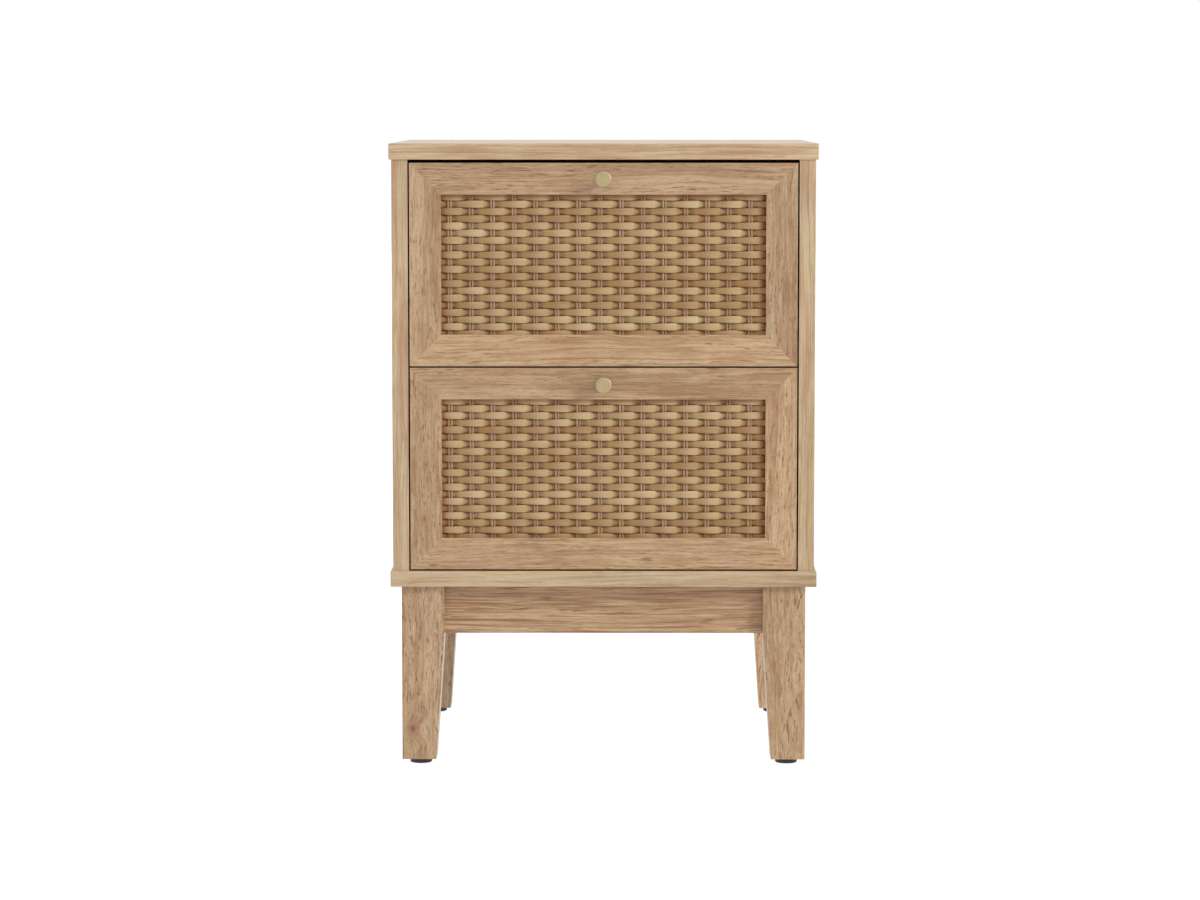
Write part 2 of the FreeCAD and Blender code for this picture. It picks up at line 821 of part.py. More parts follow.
def build_front(drawer, lift):
    rabbet = box(
        f"{drawer}_rabbet",
        ("-rabbet_half", "rabbet_half"),
        ("rabbet_plane", "front_rear"),
        raised(("rabbet_foot", "rabbet_head"), lift),
    )
    knob_hole = rod(
        f"{drawer}_knob_hole",
        "y",
        "knob_screw_radius + 2 * hole_play",
        "front_board",
        ("0", "face_plane", f"knob_level + {lift}"),
    )
    groove = box(
        f"{drawer}_floor_groove",
        ("-box_floor_half", "box_floor_half"),
        ("front_rear - floor_bite", "front_rear"),
        raised(("box_floor_foot", "box_floor_head"), lift),
    )
    rails = {
        "bottom_rail": ("front_foot", "opening_foot", [rabbet, groove]),
        "top_rail": ("front_head", "opening_head", [rabbet, knob_hole]),
    }
    for part, (outer, inner, cutters) in rails.items():
        corners = [
            ("-front_half", outer),
            ("front_half", outer),
            ("opening_half", inner),
            ("-opening_half", inner),
        ]
        name = f"{drawer}_front_{part}"
        node(name, cut(name, mitred(f"{name}_blank", corners, lift), cutters))
    for side_name, side in SIDES.items():
        corners = [
            (times(side, "front_half"), "front_foot"),
            (times(side, "front_half"), "front_head"),
            (times(side, "opening_half"), "opening_head"),
            (times(side, "opening_half"), "opening_foot"),
        ]
        holes = [
            small_dowel(f"{drawer}_{side_name}_stile_hole_{number}", side, "y", row, lift, "hole_play")
            for number, row in enumerate(DOWEL_ROWS, start=1)
        ]
        name = f"{drawer}_front_{side_name}_stile"
        node(name, cut(name, mitred(f"{name}_blank", corners, lift), [rabbet] + holes))
    inside = ("-rabbet_half + panel_play", "rabbet_half - panel_play")
    tall = raised(("rabbet_foot + panel_play", "rabbet_head - panel_play"), lift)
    woven = ("rabbet_plane", "rabbet_plane + rattan_board")
    backing = ("rabbet_plane + rattan_board", "front_rear")
    node(f"{drawer}_rattan_panel", box(f"{drawer}_rattan_panel", inside, woven, tall))
    node(f"{drawer}_backing_board", box(f"{drawer}_backing_board", inside, backing, tall))


# Heights of the drawer box's dowels above its foot, as shares of the box height.
DOWEL_ROWS = (0.25, 0.8)


def small_dowel(name, side, axis, row, lift, play="0"):
    """A dowel, or its hole, at the box's front corner (along y) or its rear corner (along x)."""
    z = f"box_foot + box_height * {row} + {lift}"
    middle = "box_outer - box_board / 2"
    radius = f"small_dowel_radius + {play}"
    if axis == "y":
        start = (times(side, middle), "front_rear - small_dowel_bite", z)
        return rod(name, "y", radius, "small_dowel_length", start)
    near = "box_inner + small_dowel_bite - small_dowel_length"
    x = span(side, near, "box_inner + small_dowel_bite")[0]
    return rod(name, "x", radius, "small_dowel_length", (x, "box_rear - box_board / 2", z))


def build_box(drawer, lift, screw):
    floor = raised(("box_floor_foot", "box_floor_head"), lift)
    groove = box(
        f"{drawer}_box_groove",
        ("-box_floor_half", "box_floor_half"),
        ("front_rear", "box_rear"),
        floor,
    )
    dowels, screws, back_holes = [], [], []
    for side_name, side in SIDES.items():
        name = f"{drawer}_{side_name}_side"
        holes = [groove]
        for number, row in enumerate(DOWEL_ROWS, start=1):
            for axis in ("x", "y"):
                label = f"{name}_dowel_{axis}_{number}"
                dowels.append(small_dowel(label, side, axis, row, lift))
                holes.append(small_dowel(f"{label}_hole", side, axis, row, lift, "hole_play"))
                if axis == "x":
                    back_holes.append(holes[-1])
        for number, y in enumerate(rail_screw_lines("front_rear", "box_length"), start=1):
            start = (times(side, "box_outer + steel"), y, f"drawer_screw_level + {lift}")
            turn = facing(LEFT * side)
            screws.append(copy_at(screw, f"{name}_screw_{number}", *start, turn))
            hole = doc.addObject("Part::Cylinder", f"{name}_screw_hole_{number}")
            bind(hole, Radius="rail_screw_radius + hole_play", Height="rail_screw_length")
            holes.append(place(hole, *start, turn=turn.multiply(ALONG["x"])))
        across = span(side, "box_inner", "box_outer")
        tall = raised(("box_foot", "box_head"), lift)
        blank = box(f"{name}_blank", across, ("front_rear", "box_rear"), tall)
        node(name, cut(name, blank, holes))
    blank = box(
        f"{drawer}_back_blank",
        ("-box_inner", "box_inner"),
        ("box_rear - box_board", "box_rear"),
        raised(("box_floor_head", "box_head"), lift),
    )
    node(f"{drawer}_back", cut(f"{drawer}_back", blank, back_holes))
    half = "box_floor_half - panel_play"
    depth = ("front_rear - floor_bite + panel_play", "box_rear")
    node(f"{drawer}_floor", box(f"{drawer}_floor", (times(LEFT, half), half), depth, floor))
    group(f"{drawer}_box_dowels", dowels)
    group(f"{drawer}_rail_screws", screws)


def build_running_gear(drawer, lift):
    """The drawer's own rails, with a roller riveted to each rail's rear end."""
    inner_end = "box_outer + steel + roller_stand"
    head = f"{inner_end} + roller_width + rivet_end_play"
    rivet = turned(
        f"{drawer}_rivet",
        "x",
        [
            ("box_outer", "0"),
            ("box_outer", "rivet_radius"),
            (head, "rivet_radius"),
            (head, "rivet_head"),
            (f"{head} + rivet_cap", "rivet_head"),
            (f"{head} + rivet_cap", "0"),
        ],
    )
    wheel = roller(f"{drawer}_roller", inner_end)
    rails, rollers, rivets = [], [], []
    for side_name, side in SIDES.items():
        name = f"{drawer}_{side_name}"
        blank = drawer_angle(f"{name}_angle", side)
        place(blank, y="front_rear", z=f"rail_foot + {lift}")
        axle = ("0", "drawer_roller_line", f"roller_level + {lift}")
        lip = span(side, "box_outer", "box_outer + steel")[0]
        holes = [rod(f"{name}_rivet_hole", "x", "rivet_radius", "steel", (lip, *axle[1:]))]
        for number, y in enumerate(rail_screw_lines("front_rear", "box_length"), start=1):
            wide = "rail_screw_radius + hole_play"
            start = (lip, y, f"drawer_screw_level + {lift}")
            holes.append(rod(f"{name}_angle_hole_{number}", "x", wide, "steel", start))
        rails.append(cut(f"{name}_drawer_rail", blank, holes))
        rollers.append(copy_at(wheel, f"{name}_drawer_roller", *axle, facing(side)))
        rivets.append(copy_at(rivet, f"{name}_drawer_rivet", *axle, facing(side)))
    group(f"{drawer}_drawer_rails", rails)
    group(f"{drawer}_drawer_rollers", rollers)
    group(f"{drawer}_roller_rivets", rivets)


def build_knob(drawer, lift):
    knob = turned(
        f"{drawer}_knob",
        "y",
        [
            ("0", "knob_screw_radius"),
            ("0", "knob_foot_radius"),
            ("-knob_foot_height", "knob_foot_radius"),
            ("-knob_foot_height - knob_flare", "knob_neck_radius"),
            ("knob_disc + knob_flare - knob_reach", "knob_neck_radius"),
            ("knob_disc - knob_reach", "knob_radius - 2 * knob_round"),
            ("knob_disc - 2 * knob_round - knob_reach", "knob_radius"),
            ("knob_round - knob_reach", "knob_radius"),
            ("knob_round / 3 - knob_reach", "knob_radius - knob_round / 3"),
            ("-knob_reach", "knob_radius - knob_round"),
            ("-knob_reach", "0"),
            ("-knob_screw_bite - 1", "0"),
            ("-knob_screw_bite", "knob_screw_radius"),
        ],
    )
    place(knob, y="face_plane", z=f"knob_level + {lift}")
    node(f"{drawer}_knob", knob)
    screw = turned(
        f"{drawer}_knob_screw",
        "y",
        [
            ("-front_board - knob_screw_bite", "0"),
            ("-front_board - knob_screw_bite", "knob_screw_radius"),
            ("0", "knob_screw_radius"),
            ("0", "knob_screw_head"),
            ("knob_screw_cap * 0.5", "knob_screw_head"),
            ("knob_screw_cap", "knob_screw_head * 0.6"),
            ("knob_screw_cap", "0"),
        ],
    )
    place(screw, y="front_rear", z=f"knob_level + {lift}")
    node(f"{drawer}_knob_screw", screw)


def check_and_write():
    doc.recompute()
    for thing in doc.Objects:
        if "Invalid" in thing.State or "Error" in thing.State:
            raise RuntimeError(f"{thing.Name} did not compute: {thing.State}")
    for name, thing in nodes.items():
        if thing.Shape.isNull() or not thing.Shape.isValid() or not thing.Shape.Solids:
            raise RuntimeError(f"{name} has no valid shape")
    os.makedirs("parts", exist_ok=True)
    for name, thing in nodes.items():
        thing.Shape.exportStep(f"parts/{name}.step")
    print(len(nodes), "nodes written")


fill_sheets()
build_carcass()
build_carcass_fixings()
build_base()
rail_screw = build_slides()
for drawer_name, drawer_lift in DRAWERS.items():
    build_front(drawer_name, drawer_lift)
    build_box(drawer_name, drawer_lift, rail_screw)
    build_running_gear(drawer_name, drawer_lift)
    build_knob(drawer_name, drawer_lift)
check_and_write()
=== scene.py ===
import math
import random

import bpy
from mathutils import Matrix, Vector


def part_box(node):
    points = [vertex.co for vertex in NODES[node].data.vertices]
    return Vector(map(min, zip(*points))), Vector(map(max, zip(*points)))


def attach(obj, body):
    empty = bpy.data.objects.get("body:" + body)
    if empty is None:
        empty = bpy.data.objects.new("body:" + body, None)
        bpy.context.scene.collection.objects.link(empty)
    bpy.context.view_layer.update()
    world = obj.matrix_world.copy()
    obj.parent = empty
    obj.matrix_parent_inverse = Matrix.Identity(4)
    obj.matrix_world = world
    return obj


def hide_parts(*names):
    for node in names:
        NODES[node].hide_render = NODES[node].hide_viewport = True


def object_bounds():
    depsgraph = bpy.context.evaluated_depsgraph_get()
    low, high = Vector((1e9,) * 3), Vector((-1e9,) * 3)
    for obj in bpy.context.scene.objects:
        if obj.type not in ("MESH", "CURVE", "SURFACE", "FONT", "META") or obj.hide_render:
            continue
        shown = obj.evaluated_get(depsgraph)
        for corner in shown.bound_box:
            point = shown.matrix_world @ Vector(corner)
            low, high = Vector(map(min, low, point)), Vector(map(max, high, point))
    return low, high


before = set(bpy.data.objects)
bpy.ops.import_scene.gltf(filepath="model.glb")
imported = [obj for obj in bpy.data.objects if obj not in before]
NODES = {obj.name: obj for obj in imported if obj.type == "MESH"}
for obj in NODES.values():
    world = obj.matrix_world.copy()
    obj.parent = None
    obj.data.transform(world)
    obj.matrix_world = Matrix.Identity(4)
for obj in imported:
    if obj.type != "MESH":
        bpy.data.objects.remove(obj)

CAD_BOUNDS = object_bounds()
DRAWERS = ("upper", "lower")
MM = 0.001

# ---------------------------------------------------------------- node graphs


def srgb(red, green, blue):
    """A colour given as 0 to 255, in the linear values that sockets take."""
    channels = []
    for part in (red, green, blue):
        part /= 255
        channels.append(part / 12.92 if part <= 0.04045 else ((part + 0.055) / 1.055) ** 2.4)
    return (*channels, 1.0)


def share_of(colour, shares):
    """A colour with each of its channels multiplied by its own share."""
    return srgb(*(channel * share for channel, share in zip(colour, shares)))


NOISE_SPREAD = (0.3, 0.7)  # where nearly all of a noise lies


class Graph:
    """A material's node tree, with one short method for each kind of node."""

    def __init__(self, name):
        self.material = bpy.data.materials.new(name)
        self.material.use_nodes = True
        self.tree = self.material.node_tree
        self.shader = next(n for n in self.tree.nodes if n.type == "BSDF_PRINCIPLED")

    def add(self, kind, **settings):
        made = self.tree.nodes.new(kind)
        for key, setting in settings.items():
            setattr(made, key, setting)
        return made

    def feed(self, socket, source):
        """Links a socket, or sets a plain number or colour on it."""
        if isinstance(source, bpy.types.NodeSocket):
            self.tree.links.new(source, socket)
        else:
            socket.default_value = source

    def object_point(self):
        return self.add("ShaderNodeTexCoord").outputs["Object"]

    def normal(self):
        return self.split(self.add("ShaderNodeNewGeometry").outputs["Normal"])

    def math(self, operation, first, second=0.0, clamp=False):
        made = self.add("ShaderNodeMath", operation=operation, use_clamp=clamp)
        self.feed(made.inputs[0], first)
        self.feed(made.inputs[1], second)
        return made.outputs[0]

    def blend(self, *layers):
        """The sum of several sources, each given with its share."""
        total = None
        for source, share in layers:
            part = self.math("MULTIPLY", source, share)
            total = part if total is None else self.math("ADD", total, part)
        return total

    def span(self, source, low, high, to_low=0.0, to_high=1.0):
        """Maps low..high to to_low..to_high, held at both ends."""
        made = self.add("ShaderNodeMapRange")
        for index, value in enumerate((source, low, high, to_low, to_high)):
            self.feed(made.inputs[index], value)
        return made.outputs[0]

    def rough(self, noise, low, high):
        """A roughness that a noise moves from low to high."""
        return self.span(noise, *NOISE_SPREAD, low, high)

    def split(self, vector):
        made = self.add("ShaderNodeSeparateXYZ")
        self.feed(made.inputs[0], vector)
        return made.outputs

    def join(self, x, y, z):
        made = self.add("ShaderNodeCombineXYZ")
        for socket, source in zip(made.inputs, (x, y, z)):
            self.feed(socket, source)
        return made.outputs[0]

    def stretch(self, vector, scale, shift=(0, 0, 0)):
        made = self.add("ShaderNodeMapping")
        self.feed(made.inputs["Vector"], vector)
        made.inputs["Scale"].default_value = scale
        made.inputs["Location"].default_value = shift
        return made.outputs[0]

    def noise(self, vector, scale=1.0, detail=2.0, roughness=0.5, distortion=0.0):
        made = self.add("ShaderNodeTexNoise")
        self.feed(made.inputs["Vector"], vector)
        made.inputs["Scale"].default_value = scale
        made.inputs["Detail"].default_value = detail
        made.inputs["Roughness"].default_value = roughness
        made.inputs["Distortion"].default_value = distortion
        return made.outputs[0]

    def line_noise(self, source, scale, detail=2.0, roughness=0.5):
        """Noise along one number, so that it draws lines where that number is level."""
        made = self.add("ShaderNodeTexNoise", noise_dimensions="1D")
        self.feed(made.inputs["W"], source)
        made.inputs["Scale"].default_value = scale
        made.inputs["Detail"].default_value = detail
        made.inputs["Roughness"].default_value = roughness
        return made.outputs[0]

    def ramp(self, source, stops):
        made = self.add("ShaderNodeValToRGB")
        self.feed(made.inputs[0], source)
        elements = made.color_ramp.elements
        while len(elements) < len(stops):
            elements.new(0.5)
        for element, (place, colour) in zip(elements, stops):
            element.position = place
            element.color = colour
        return made.outputs[0]

    def mix(self, factor, first, second, blend="MIX"):
        made = self.add("ShaderNodeMix", data_type="RGBA", blend_type=blend)
        self.feed(made.inputs["Factor"], factor)
        self.feed(made.inputs[6], first)
        self.feed(made.inputs[7], second)
        return made.outputs[2]

    def bump(self, height, distance, strength):
        made = self.add("ShaderNodeBump")
        made.inputs["Strength"].default_value = strength
        made.inputs["Distance"].default_value = distance
        self.feed(made.inputs["Height"], height)
        self.feed(self.shader.inputs["Normal"], made.outputs[0])

    def attribute(self, name):
        return self.add("ShaderNodeAttribute", attribute_name=name).outputs["Fac"]

    def finish(self, colour, roughness, **constants):
        self.feed(self.shader.inputs["Base Color"], colour)
        self.feed(self.shader.inputs["Roughness"], roughness)
        for name, value in constants.items():
            self.shader.inputs[name.replace("_", " ").title()].default_value = value
        return self.material


# ---------------------------------------------------------------- oak

# The other two axes of a piece whose grain runs along the first: across its face, and in depth.
ACROSS = {"X": ("Z", "Y"), "Y": ("Z", "X"), "Z": ("X", "Y")}

# The noise layers of the oak. Each has its rates along the grain, across it and in depth, in
# waves to the metre; its offset; its detail; and its roughness.
OAK_LAYERS = {
    "warp": ((3.4, 10, 10), (0, 0, 0), 2.5, 0.5),
    "ripple": ((24, 80, 80), (0, 0, 0), 3, 0.65),
    "bands": ((4, 48, 40), (0, 0, 0), 2.5, 0.55),
    "streaks": ((15, 330, 300), (0, 0, 0), 3.5, 0.66),
    "threads": ((9, 800, 700), (2, 2, 2), 2, 0.6),
    "blotch": ((26, 60, 60), (7, 7, 7), 2, 0.6),
    "fibre": ((60, 1500, 1500), (0, 0, 0), 2, 0.6),
    "dashes": ((1, 560, 500), (0, 0, 0), 2.5, 0.7),
    "specks": ((2.6, 2300, 2000), (0, 0, 0), 1.5, 0.6),
    "patches": ((12, 70, 70), (4, 4, 4), 2, 0.5),
    "hue": ((7, 110, 90), (5, 3, 1), 2, 0.5),
}

# The oak's shades and where they stand in its tone, from the darkest streak to the palest, and
# the brown of its pores and growth lines: all as shares of the piece's middle colour.
OAK_SHADES = {
    0.0: (0.84, 0.765, 0.68),
    0.36: (0.945, 0.92, 0.885),
    0.64: (1.035, 1.05, 1.05),
    1.0: (1.10, 1.125, 1.13),
}
OAK_BROWN = (0.70, 0.58, 0.47)
PINK_WASH = (255, 241, 234)
OLIVE_WASH = (251, 251, 236)
WASH_STRENGTH = 0.7

# How much of the tone each layer makes up.
TONE_SHARES = {"bands": 0.27, "streaks": 0.31, "threads": 0.24, "blotch": 0.12, "fibre": 0.06}
TONE_SPREAD = 0.12  # to either side of the middle, at a contrast of 1

# The part of its noise over which each thing comes in. Where the second number is the lower
# one, it comes in as the noise falls.
PINK_RANGE = (0.52, 0.66)
OLIVE_RANGE = (0.48, 0.34)
UNBROKEN_RANGE = (0.56, 0.42)  # of the growth lines, by the streaks
PATCH_RANGE = (0.36, 0.60)
DASH_RANGE = (0.53, 0.64)
SPECK_RANGE = (0.55, 0.66)

LINE_FADE = (0.008, 0.05)  # away from its level, for a growth line with a width of 1
BROAD_TO_EDGE = (0.4, 0.6)  # of the normal's Y, from a board's broad face to its edge

# Each family of oak pieces has its middle colour; the contrast and the shortness of its streaks;
# the strength of its pores, and their rate along the grain; and the strength and the wander of
# its growth lines. A family may also set the lines' rate and width. The last two, for boards,
# say how much stronger the marks are, and how much more the lines wander, on their broad faces
# than on their front and rear edges.
BOARD_OAK = {
    "middle": (209, 181, 147), "contrast": 0.9, "shortness": 0.8, "pores": 0.45, "pore_rate": 45,
    "lines": 0.30, "wander": 0.4, "broad_marks": 1.7, "broad_wander": 3.2,
}
FRAME_OAK = {
    "middle": (198, 164, 128), "contrast": 1.05, "shortness": 1.2, "pores": 0.85, "pore_rate": 55,
    "lines": 0.30, "wander": 0.30,
}
STILE_OAK = {
    "middle": (200, 166, 131), "contrast": 1.1, "shortness": 2.0, "pores": 0.90, "pore_rate": 100,
    "lines": 0.15, "wander": 0.4,
}
APRON_OAK = {
    "middle": (207, 172, 136), "contrast": 1.05, "shortness": 0.8, "pores": 0.95, "pore_rate": 34,
    "lines": 0.85, "wander": 0.25, "line_rate": 185, "line_width": 2.2,
}
LEG_OAK = {
    "middle": (202, 169, 134), "contrast": 1.05, "shortness": 2.4, "pores": 1.00, "pore_rate": 105,
    "lines": 0.15, "wander": 0.6,
}

# Pieces cut from a darker or a lighter strip than the rest of their family. The rear legs are
# painted instead: painted shade on the left one and painted light on the right one, as the light
# falls from the right.
STRIP_TONE_AND_PAINTED_LIGHT = {
    "top_board": 1.035,
    "bottom_board": 0.99,
    "upper_front_top_rail": 0.98,
    "upper_front_bottom_rail": 1.05,
    "upper_front_right_stile": 0.965,
    "lower_front_bottom_rail": 1.03,
    "lower_front_right_stile": 1.03,
    # Painted shade on the rear left leg, and painted light on the rear right leg.
    "rear_left_leg": 0.94,
    "rear_right_leg": 1.07,
}

WARP_REACH = 50 * MM  # how far the growth lines wander at most, over the length of a board
RIPPLE_REACH = 6 * MM  # and over a few centimetres
KNOT_HALF_WIDE = 6 * MM
KNOT_HALF_TALL = 9 * MM
# What a knot does, and the distances from its middle over which that fades, 1 being its rim:
# how far it bends the grain aside, and its colours, each with its strength.
KNOT_PUSH = (10 * MM, (0.5, 2.4))
KNOT_RIM = ((166, 112, 74), 0.5, (0.7, 2.2))
KNOT_HEART = ((104, 62, 40), 0.8, (0.25, 0.75))


def oak_layer(g, point, name, rate=1.0):
    """One noise layer of the oak, with its rate along the grain multiplied."""
    (along, across, deep), offset, detail, roughness = OAK_LAYERS[name]
    stretched = g.stretch(point, (rate * along, across, deep), offset)
    return g.noise(stretched, detail=detail, roughness=roughness)


def grain_point(g, grain, seed, banded):
    """The place in the wood as (along the grain, across, deep), moved to the piece's own log.

    A banded board has edge strips on its ends, whose grain runs along the strip.
    """
    parts = dict(zip("XYZ", g.split(g.object_point())))
    along, across, deep = (parts[axis] for axis in (grain, *ACROSS[grain]))
    if banded:
        on_end = g.math("GREATER_THAN", g.math("ABSOLUTE", g.normal()[grain]), 0.7)
        swing = g.math("MULTIPLY", on_end, g.math("SUBTRACT", deep, along))
        along, deep = g.math("ADD", along, swing), g.math("SUBTRACT", deep, swing)
    place = random.Random(seed)
    shift = [place.uniform(-9, 9) for _ in range(3)]
    return g.stretch(g.join(along, across, deep), (1, 1, 1), shift)


def knot_distance(g, knot, ripple):
    """How far a place is from a knot, given as (x, z) on the front face: 1 at its rim."""
    parts = g.split(g.object_point())
    away = g.stretch(g.join(parts["X"], 0.0, parts["Z"]),
                     (1 / KNOT_HALF_WIDE, 1, 1 / KNOT_HALF_TALL),
                     (-knot[0] / KNOT_HALF_WIDE, 0, -knot[1] / KNOT_HALF_TALL))
    length = g.add("ShaderNodeVectorMath", operation="LENGTH")
    g.feed(length.inputs[0], away)
    return g.math("ADD", length.outputs["Value"], g.math("MULTIPLY", ripple, 0.5))


def oak(name, grain, seed, middle, contrast, shortness, pores, pore_rate, lines, wander,
        line_rate=105, line_width=1.0, broad_marks=None, broad_wander=None, banded=False,
        knot=None):
    """Light oak veneer with its grain along one axis of the frame.

    Broad bands and streaks are noise drawn out along the grain. Growth lines are level lines of
    a slowly warped distance across the grain, so some run along the board and some close into
    long arches. Pores are short dark dashes and specks, gathered in patches and along the lines.
    """
    g = Graph(name)
    point = grain_point(g, grain, seed, banded)
    on_edge = g.math("ABSOLUTE", g.normal()["Y"]) if broad_marks or broad_wander else None

    # The grain is bent by a slow warp, a quick ripple and any knot.
    along, wide, deep = g.split(point)
    ripple = oak_layer(g, point, "ripple")
    reach = WARP_REACH * wander
    if broad_wander:
        reach = g.span(on_edge, *BROAD_TO_EDGE, broad_wander * reach, reach)
    across = g.math("ADD", wide, g.math("MULTIPLY", deep, 0.6))
    across = g.math("ADD", across, g.math("MULTIPLY", oak_layer(g, point, "warp"), reach))
    across = g.math("ADD", across, g.math("MULTIPLY", ripple, RIPPLE_REACH * wander))
    if knot:
        from_knot = knot_distance(g, knot, ripple)
        push, fade = KNOT_PUSH
        across = g.math("ADD", across, g.span(from_knot, *fade, push, 0.0))
    bent = g.join(along, across, deep)

    # The ground colour, with a little pink in some places and a little olive in others.
    layers = {
        "bands": oak_layer(g, bent, "bands"),
        "streaks": oak_layer(g, bent, "streaks", shortness),
        "threads": oak_layer(g, bent, "threads", shortness),
        "blotch": oak_layer(g, point, "blotch"),
        "fibre": oak_layer(g, point, "fibre"),
    }
    tone = g.blend(*((layers[key], share) for key, share in TONE_SHARES.items()))
    tone = g.span(tone, 0.5 - TONE_SPREAD / contrast, 0.5 + TONE_SPREAD / contrast)
    stops = [(place, share_of(middle, shares)) for place, shares in OAK_SHADES.items()]
    ground = g.ramp(tone, stops)
    hue = oak_layer(g, bent, "hue")
    for wash, hues in ((PINK_WASH, PINK_RANGE), (OLIVE_WASH, OLIVE_RANGE)):
        ground = g.mix(g.span(hue, *hues, 0.0, WASH_STRENGTH), ground, srgb(*wash), "MULTIPLY")

    # The marks: growth lines, broken up by the streaks, and pores.
    growth = g.line_noise(across, line_rate, detail=2.0, roughness=0.6)
    off_line = g.math("ABSOLUTE", g.math("SUBTRACT", growth, 0.5))
    line = g.span(off_line, *(line_width * distance for distance in LINE_FADE), 1.0, 0.0)
    thread = g.math("MULTIPLY", line, g.span(layers["streaks"], *UNBROKEN_RANGE, 0.15, 1.0))
    thread = g.math("MULTIPLY", thread, lines)
    patches = g.span(oak_layer(g, point, "patches"), *PATCH_RANGE, 0.2, 1.0)
    gathered = g.math("MAXIMUM", patches, g.math("MULTIPLY", line, 0.9))
    dashes = g.span(oak_layer(g, bent, "dashes", pore_rate), *DASH_RANGE)
    dashes = g.math("MULTIPLY", dashes, gathered)
    specks = g.span(oak_layer(g, bent, "specks", pore_rate), *SPECK_RANGE, 0.0, 0.55)
    dots = g.math("MAXIMUM", dashes, specks)
    strength = g.math("MAXIMUM", g.math("MULTIPLY", dots, pores), thread)
    if broad_marks:
        boost = g.span(on_edge, *BROAD_TO_EDGE, broad_marks, 1.0)
        strength = g.math("MULTIPLY", strength, boost, clamp=True)
    colour = g.mix(strength, ground, share_of(middle, OAK_BROWN))
    if knot:
        for shade, most, fade in (KNOT_RIM, KNOT_HEART):
            colour = g.mix(g.span(from_knot, *fade, most, 0.0), colour, srgb(*shade))

    fibre = layers["fibre"]
    marks = g.math("MAXIMUM", dots, thread)
    height = g.math("SUBTRACT", g.math("MULTIPLY", fibre, 0.35), marks)
    g.bump(height, 0.06 * MM, strength=0.6)
    return g.finish(colour, g.rough(fibre, 0.33, 0.43), coat_weight=0.25, coat_roughness=0.18)


# ---------------------------------------------------------------- other woods

PLY_PERIOD = 3.0 * MM  # one pale and one dark layer of the plywood
PLY_OFFSET = 0.1 * MM
DARK_PLY = (0.27, 0.30)  # where a dark layer begins, 0 to 0.5 being half the period


def plywood(name, layer_axis, layer_start, seed, stained_front=False):
    """Birch plywood: quiet pale faces, with its layers showing on the edges.

    A stained front is the face towards -Y, browned so that it does not shine through the cane.
    """
    g = Graph(name)
    point = g.object_point()
    parts = dict(zip("XYZ", g.split(point)))
    place = random.Random(seed)
    moved = g.stretch(point, (1, 1, 1), [place.uniform(-5, 5) for _ in range(3)])
    figure = g.noise(g.stretch(moved, (26, 5, 26)), detail=3, distortion=0.6)
    fibre = g.noise(g.stretch(moved, (900, 30, 900)), detail=2)
    depth = g.math("SUBTRACT", parts[layer_axis], layer_start - PLY_OFFSET)
    turn = g.math("PINGPONG", g.math("DIVIDE", depth, PLY_PERIOD), 0.5)
    dark = g.span(turn, *DARK_PLY)
    tone = g.blend((figure, 0.6), (fibre, 0.4))
    pale = g.ramp(tone, [(0.3, srgb(188, 160, 122)), (0.55, srgb(208, 183, 147)),
                         (0.75, srgb(218, 196, 162))])
    colour = g.mix(g.math("MULTIPLY", dark, 0.55), pale, srgb(142, 108, 72))
    if stained_front:
        in_front = g.math("LESS_THAN", g.normal()["Y"], -0.5)
        stain = g.ramp(tone, [(0.3, srgb(206, 142, 84)), (0.7, srgb(226, 162, 102))])
        colour = g.mix(in_front, colour, stain)
    g.bump(fibre, 0.04 * MM, strength=0.5)
    return g.finish(colour, g.rough(fibre, 0.52, 0.64))


def hardboard(name):
    """Thin fibre board: brown and felted behind or below, with a pale coat on its other face."""
    g = Graph(name)
    point = g.object_point()
    fibres = g.noise(point, 900, detail=5, roughness=0.7)
    blotch = g.noise(point, 90, detail=3)
    brown = g.ramp(g.blend((fibres, 0.85), (blotch, 0.15)),
                   [(0.32, srgb(132, 98, 68)), (0.5, srgb(160, 124, 90)),
                    (0.68, srgb(186, 151, 115))])
    pale = g.ramp(fibres, [(0.3, srgb(204, 192, 174)), (0.7, srgb(220, 209, 193))])
    normal = g.normal()
    faces_up = g.math("GREATER_THAN", normal["Z"], 0.5)
    faces_front = g.math("LESS_THAN", normal["Y"], -0.5)
    coated = g.math("MAXIMUM", faces_up, faces_front)
    g.bump(fibres, 0.15 * MM, strength=0.6)
    return g.finish(g.mix(coated, brown, pale), g.rough(fibres, 0.55, 0.75))


def beech(name):
    g = Graph(name)
    flecks = g.noise(g.stretch(g.object_point(), (600, 600, 90)), detail=3)
    colour = g.ramp(flecks, [(0.35, srgb(186, 150, 110)), (0.65, srgb(216, 184, 142))])
    g.bump(flecks, 0.1 * MM, strength=0.5)
    return g.finish(colour, roughness=0.6)


# ---------------------------------------------------------------- cane

CANE_STOPS = (0.16, 0.34, 0.52, 0.80)
# The brown of the painted shade along the edges of the hole.
CANE_RECESS_SHADE = (160, 88, 44)
WEFT_PALETTE = ((163, 120, 74), (174, 140, 96), (198, 166, 120), (224, 201, 160))
WARP_PALETTE = ((150, 112, 82), (168, 130, 98), (188, 150, 118), (206, 172, 142))


